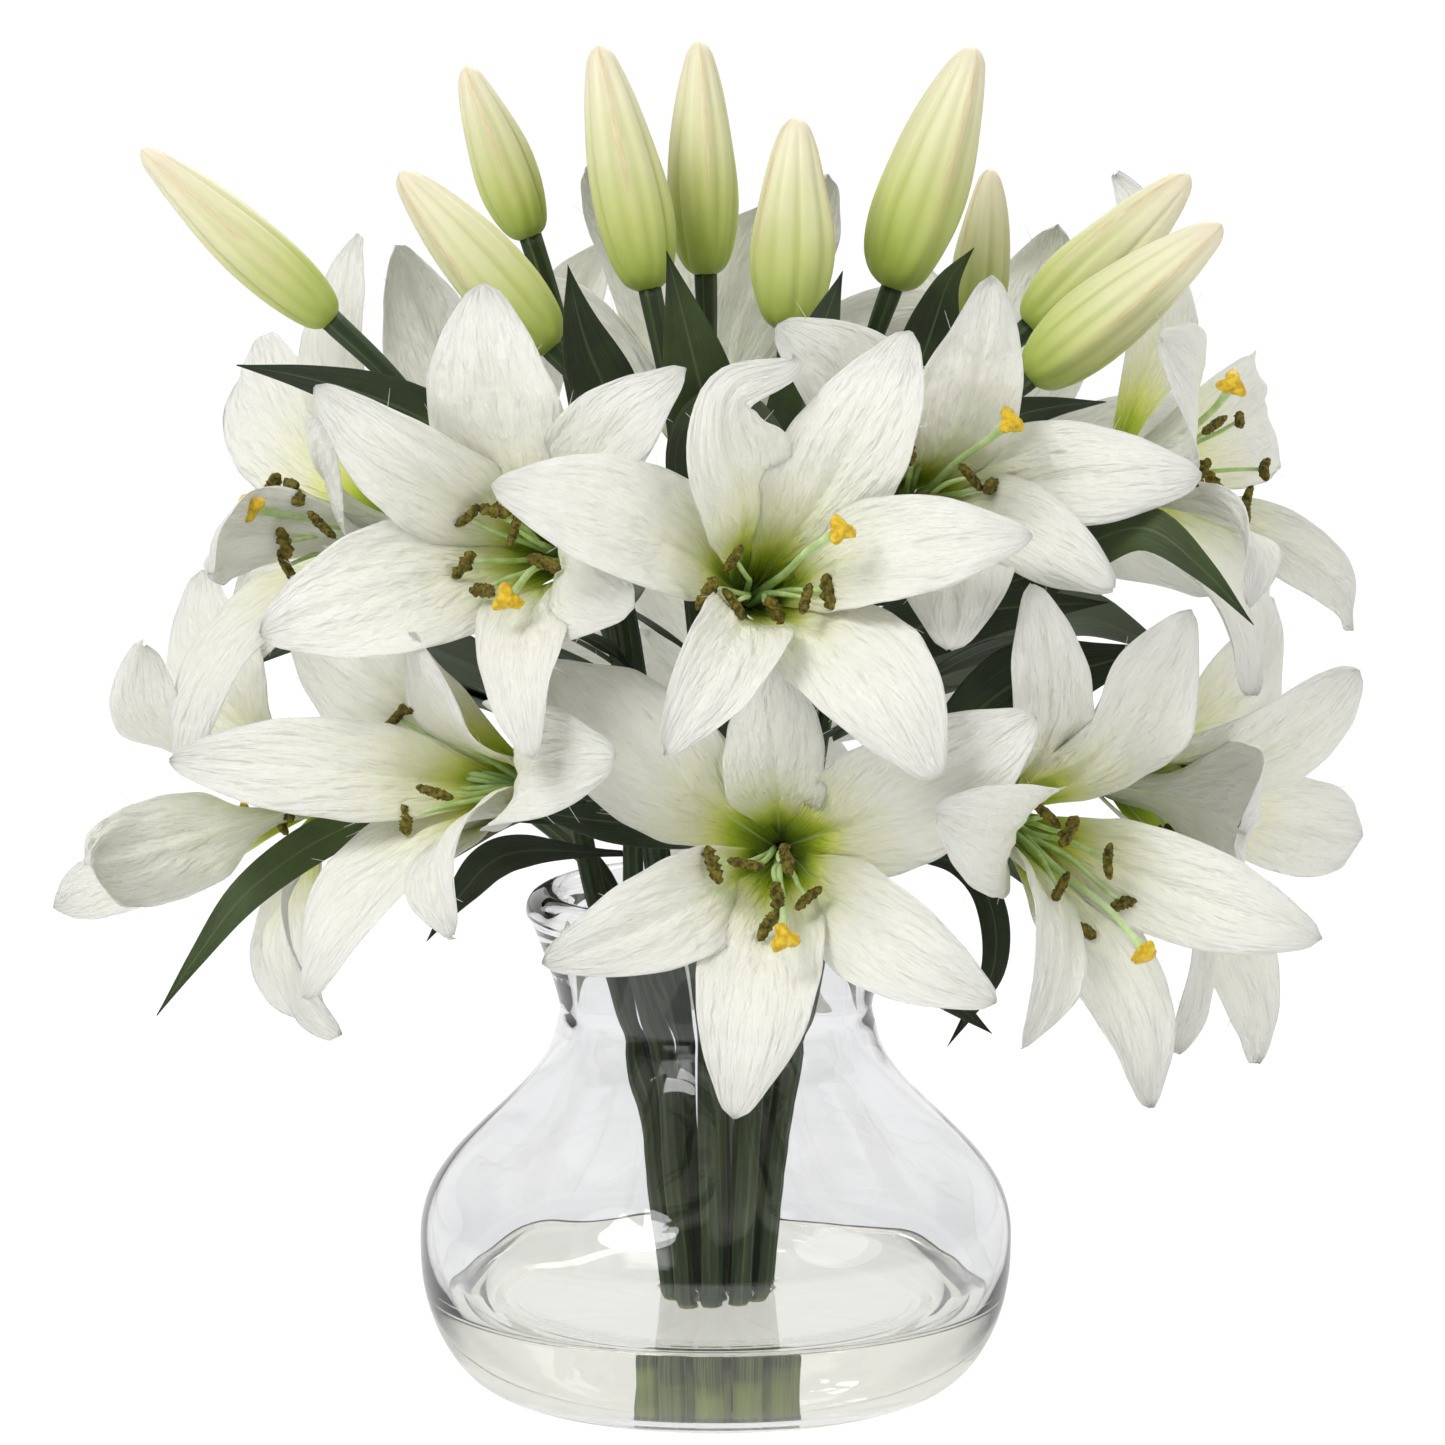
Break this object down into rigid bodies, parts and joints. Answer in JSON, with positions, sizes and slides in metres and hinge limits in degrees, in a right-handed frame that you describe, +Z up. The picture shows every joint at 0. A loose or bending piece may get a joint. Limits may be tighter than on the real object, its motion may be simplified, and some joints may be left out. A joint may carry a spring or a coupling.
{
  "type": "artificial lilies in a glass vase",
  "caption": "Bouquet of open white lilies and pointed buds with dark green leaves, standing in a round-bellied clear glass vase with a layer of clear resin as water.",
  "frame": {"origin": "middle of the vase's flat base, on the surface it stands on", "axes": "+Z up, -Y towards the front of the arrangement, +X to the right as seen from the front"},
  "size_m": [0.3913, 0.3207, 0.397],
  "materials": {
    "glass": "clear, polished",
    "resin": "clear cast resin, faintly yellow, glossy",
    "stem_green": "satin moulded plastic, ribbed lengthwise, dark green",
    "leaf_green": "coated cloth, satin, very dark green with a paler midrib",
    "petal_white": "matte stiffened cloth, embossed veins, white with a yellow-green throat",
    "bud_green": "waxy moulded plastic, cream at the tip to lime green at the base",
    "filament_green": "thin moulded plastic, pale mint green, satin",
    "anther_brown": "moulded plastic with a rough olive brown coat, matte",
    "stigma_yellow": "moulded plastic, bright yellow, satin, lobed and lumpy"
  },
  "bodies": {
    "root": {"vase": "glass", "water": "resin", "stem_01": "stem_green", "stem_02": "stem_green", "stem_03": "stem_green", "stem_04": "stem_green", "stem_05": "stem_green", "stem_06": "stem_green", "stem_07": "stem_green", "stem_08": "stem_green", "stem_09": "stem_green", "stem_10": "stem_green", "stem_11": "stem_green", "stem_12": "stem_green", "stem_13": "stem_green", "stem_14": "stem_green", "bloom_01": "petal_white", "bloom_02": "petal_white", "bloom_03": "petal_white", "bloom_04": "petal_white", "bloom_05": "petal_white", "bloom_06": "petal_white", "bloom_07": "petal_white", "bloom_08": "petal_white", "bloom_09": "petal_white", "bloom_10": "petal_white", "bloom_11": "petal_white", "bloom_12": "petal_white", "bloom_13": "petal_white", "bloom_14": "petal_white", "bud_01": "bud_green", "bud_02": "bud_green", "bud_03": "bud_green", "bud_04": "bud_green", "bud_05": "bud_green", "bud_06": "bud_green", "bud_07": "bud_green", "bud_08": "bud_green", "bud_09": "bud_green", "bud_10": "bud_green", "leaf_01": "leaf_green", "leaf_02": "leaf_green", "leaf_03": "leaf_green", "leaf_04": "leaf_green", "leaf_05": "leaf_green", "leaf_06": "leaf_green", "leaf_07": "leaf_green", "leaf_08": "leaf_green", "leaf_09": "leaf_green", "leaf_10": "leaf_green", "leaf_11": "leaf_green", "leaf_12": "leaf_green", "leaf_13": "leaf_green", "leaf_14": "leaf_green", "leaf_15": "leaf_green", "leaf_16": "leaf_green", "leaf_17": "leaf_green", "leaf_18": "leaf_green", "leaf_19": "leaf_green", "leaf_20": "leaf_green"}
  },
  "joints": []
}
